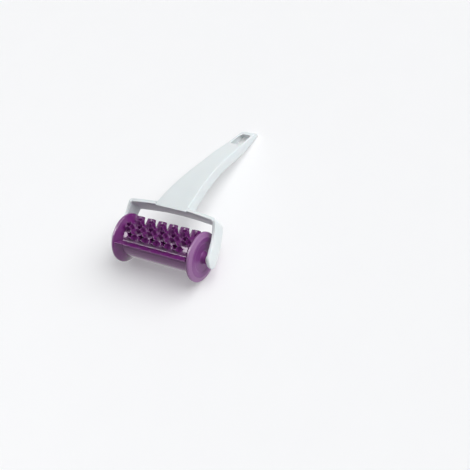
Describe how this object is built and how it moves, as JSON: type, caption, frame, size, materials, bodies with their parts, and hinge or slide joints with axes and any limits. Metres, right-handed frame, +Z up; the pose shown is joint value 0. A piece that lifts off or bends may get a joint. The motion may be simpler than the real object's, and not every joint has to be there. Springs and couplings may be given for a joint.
{
  "type": "pastry lattice roller",
  "caption": "Hand roller with star cutters, cross blades and cutting discs that turn in a white fork with a broad curved handle.",
  "frame": {"origin": "on the table under the middle of the box, with the tool lying on its two rims and the tip of its handle", "axes": "+X along the roller's axle, +Y from the roller to the end of the handle, +Z up from the table"},
  "size_m": [0.1526, 0.2714, 0.066],
  "materials": {
    "white_abs": "satin moulded",
    "purple_abs": "polished moulded",
    "nylon": "moulded",
    "axle_steel": "drawn rod"
  },
  "bodies": {
    "handle_fork": {"fork": "white_abs", "handle_front_shell": "white_abs", "handle_back_cover": "white_abs", "axle": "axle_steel", "thrust_washer_left": "nylon", "thrust_washer_right": "nylon"},
    "roller": {"drum_core": "purple_abs", "star_strip_1": "purple_abs", "star_strip_2": "purple_abs", "star_strip_3": "purple_abs", "star_strip_4": "purple_abs", "star_strip_5": "purple_abs", "star_strip_6": "purple_abs", "plain_shell": "purple_abs", "cross_blade_front": "purple_abs", "cross_blade_rear": "purple_abs", "disc_left": "purple_abs", "disc_right": "purple_abs", "hub_bush_left": "nylon", "hub_bush_right": "nylon"}
  },
  "joints": [
    {"name": "roller_spin", "type": "hinge", "parent": "handle_fork", "child": "roller", "pos_m": [0, -0.10375, 0.032], "axis": [1, 0, 0], "continuous": true}
  ]
}
